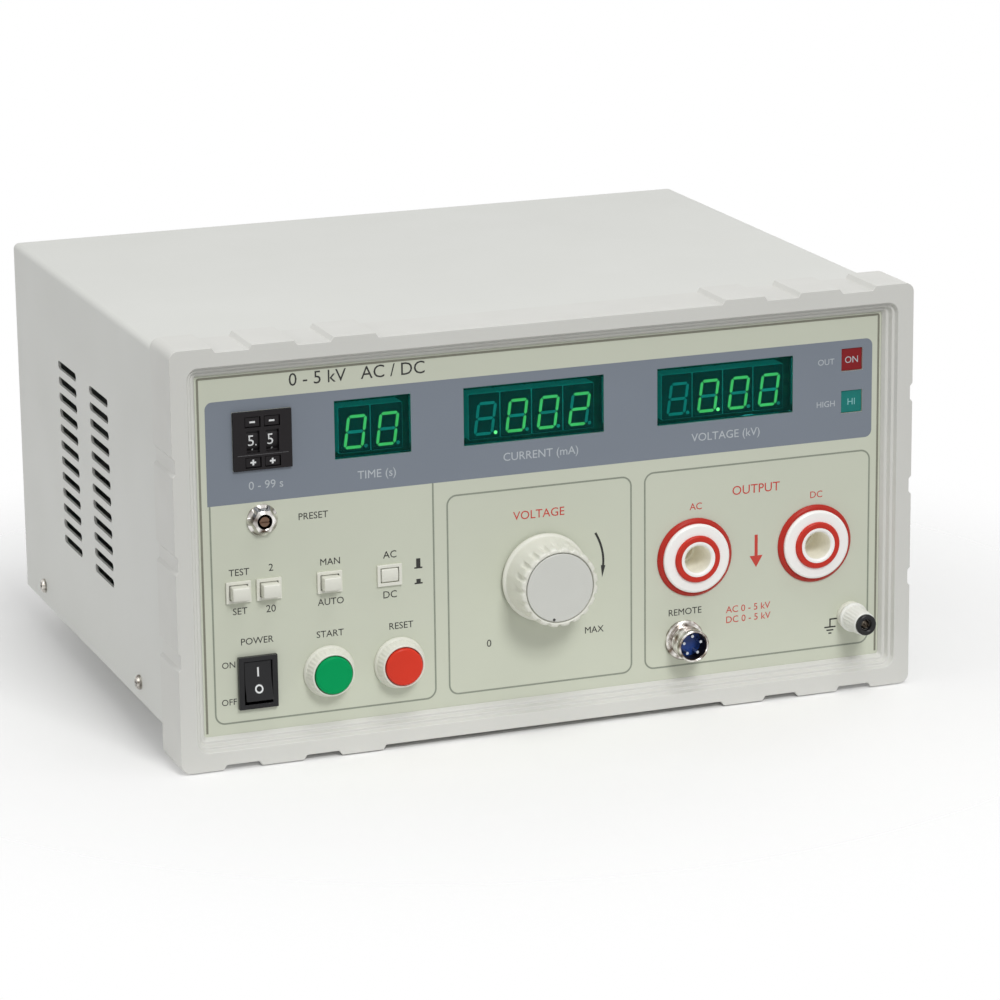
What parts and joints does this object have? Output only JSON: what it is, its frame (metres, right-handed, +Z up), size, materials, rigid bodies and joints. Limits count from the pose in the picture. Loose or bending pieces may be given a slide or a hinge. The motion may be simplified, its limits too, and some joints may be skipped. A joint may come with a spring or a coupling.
{
  "type": "withstand voltage tester",
  "caption": "Bench hipot tester: grey sheet metal case with a notched bezel, digital displays, thumbwheel timer, push buttons, voltage knob, high voltage jacks and an earth post.",
  "frame": {"origin": "middle of the bounding box's underside, on the floor plane under the case", "axes": "+X to the viewer's right along the front, +Y from the front panel to the rear, +Z up"},
  "size_m": [0.32, 0.2636, 0.173],
  "materials": {
    "bezel_plastic": "moulded pale grey, fine grain",
    "panel_paint": "pale green-grey paint with silk-screened marks",
    "case_paint": "light grey fine-texture powder coat",
    "zinc": "zinc plated sheet and screws",
    "rubber": "black moulded",
    "filter": "dark green transparent filter",
    "digits": "dark face with seven-segment bars",
    "board": "green solder mask",
    "brass": "turned, bright",
    "black_plastic": "moulded, fine grain",
    "red_lens": "tinted lens",
    "green_lens": "tinted lens",
    "nickel": "bright nickel plate",
    "cream_plastic": "moulded cream, satin",
    "green_cap": "moulded, satin",
    "red_cap": "moulded, satin",
    "core_steel": "laminated silicon steel, dark",
    "copper": "enamelled copper wire",
    "knob_disc": "satin disc",
    "jack_red": "moulded, glossy",
    "white_insulator": "moulded, satin white",
    "blue_insert": "moulded",
    "coil_tape": "varnished insulating tape",
    "relay_plastic": "moulded cases"
  },
  "bodies": {
    "tester": {"front_bezel": "bezel_plastic", "front_panel": "panel_paint", "top_cover": "case_paint", "base_pan": "zinc", "rear_panel": "case_paint", "rear_feet": "rubber", "case_screws": "zinc", "display_windows": "filter", "display_digits": "digits", "display_board": "board", "board_standoffs": "brass", "thumbwheel_housing": "black_plastic", "output_lamp": "red_lens", "limit_lamp": "green_lens", "preset_pot": "zinc", "preset_nut": "nickel", "latch_switches": "cream_plastic", "rocker_frame": "black_plastic", "push_collars": "cream_plastic", "push_switches": "black_plastic", "variac_core": "core_steel", "variac_winding": "copper", "variac_bracket": "zinc", "jack_flanges": "jack_red", "jack_insulators": "white_insulator", "jack_rings": "jack_red", "jack_contacts": "brass", "connector_shell": "nickel", "connector_insert": "blue_insert", "connector_pins": "brass", "ground_stud": "nickel", "ground_collar": "cream_plastic", "ground_washer": "nickel", "inlet_housing": "black_plastic", "inlet_pins": "brass", "transformer_core": "core_steel", "transformer_coil": "coil_tape", "control_board": "board", "board_parts": "relay_plastic"},
    "tens_wheel": {"tens_wheel": "black_plastic"},
    "units_wheel": {"units_wheel": "black_plastic"},
    "tens_minus_key": {"tens_minus_key": "black_plastic"},
    "tens_plus_key": {"tens_plus_key": "black_plastic"},
    "units_minus_key": {"units_minus_key": "black_plastic"},
    "units_plus_key": {"units_plus_key": "black_plastic"},
    "preset_shaft": {"preset_shaft": "brass"},
    "test_button": {"test_button": "cream_plastic"},
    "range_button": {"range_button": "cream_plastic"},
    "timer_button": {"timer_button": "cream_plastic"},
    "output_button": {"output_button": "cream_plastic"},
    "power_rocker": {"power_rocker": "black_plastic"},
    "start_button": {"start_button": "green_cap"},
    "reset_button": {"reset_button": "red_cap"},
    "voltage_control": {"voltage_knob": "cream_plastic", "knob_cap": "knob_disc", "variac_shaft": "zinc", "brush_arm": "brass"},
    "post_nut": {"ground_nut": "cream_plastic", "ground_tip": "black_plastic"},
    "fuse_drawer": {"fuse_drawer": "black_plastic"}
  },
  "joints": [
    {"name": "tens_wheel_turn", "type": "hinge", "parent": "tester", "child": "tens_wheel", "pos_m": [-0.1252, -0.10397, 0.1323], "axis": [1, 0, 0], "continuous": true},
    {"name": "units_wheel_turn", "type": "hinge", "parent": "tester", "child": "units_wheel", "pos_m": [-0.1172, -0.10397, 0.1323], "axis": [1, 0, 0], "continuous": true},
    {"name": "tens_minus_key_press", "type": "slide", "parent": "tester", "child": "tens_minus_key", "axis": [0, 1, 0], "range_m": [0, 0.0013], "stiffness_N_per_m": 400, "springref_m": -0.001},
    {"name": "tens_plus_key_press", "type": "slide", "parent": "tester", "child": "tens_plus_key", "axis": [0, 1, 0], "range_m": [0, 0.0013], "stiffness_N_per_m": 400, "springref_m": -0.001},
    {"name": "units_minus_key_press", "type": "slide", "parent": "tester", "child": "units_minus_key", "axis": [0, 1, 0], "range_m": [0, 0.0013], "stiffness_N_per_m": 400, "springref_m": -0.001},
    {"name": "units_plus_key_press", "type": "slide", "parent": "tester", "child": "units_plus_key", "axis": [0, 1, 0], "range_m": [0, 0.0013], "stiffness_N_per_m": 400, "springref_m": -0.001},
    {"name": "preset_turn", "type": "hinge", "parent": "tester", "child": "preset_shaft", "pos_m": [-0.122, -0.11278, 0.1], "axis": [0, 1, 0], "range_deg": [-150, 150]},
    {"name": "test_button_press", "type": "slide", "parent": "tester", "child": "test_button", "axis": [0, 1, 0], "range_m": [0, 0.004]},
    {"name": "range_button_press", "type": "slide", "parent": "tester", "child": "range_button", "axis": [0, 1, 0], "range_m": [0, 0.004]},
    {"name": "timer_button_press", "type": "slide", "parent": "tester", "child": "timer_button", "axis": [0, 1, 0], "range_m": [0, 0.004]},
    {"name": "output_button_press", "type": "slide", "parent": "tester", "child": "output_button", "axis": [0, 1, 0], "range_m": [-0.004, 0]},
    {"name": "rocker_tilt", "type": "hinge", "parent": "tester", "child": "power_rocker", "pos_m": [-0.1257, -0.11077, 0.0334], "axis": [1, 0, 0], "range_deg": [0, 18]},
    {"name": "start_button_press", "type": "slide", "parent": "tester", "child": "start_button", "axis": [0, 1, 0], "range_m": [0, 0.0035], "stiffness_N_per_m": 500, "springref_m": -0.003},
    {"name": "reset_button_press", "type": "slide", "parent": "tester", "child": "reset_button", "axis": [0, 1, 0], "range_m": [0, 0.0035], "stiffness_N_per_m": 500, "springref_m": -0.003},
    {"name": "voltage_turn", "type": "hinge", "parent": "tester", "child": "voltage_control", "pos_m": [-0.0027, -0.11278, 0.0633], "axis": [0, 1, 0], "range_deg": [0, 320]},
    {"name": "nut_turn", "type": "hinge", "parent": "tester", "child": "post_nut", "pos_m": [0.1353, -0.12077, 0.0308], "axis": [0, -1, 0], "range_deg": [0, 720]},
    {"name": "drawer_pull", "type": "slide", "parent": "tester", "child": "fuse_drawer", "axis": [0, 1, 0], "range_m": [0, 0.016]}
  ]
}
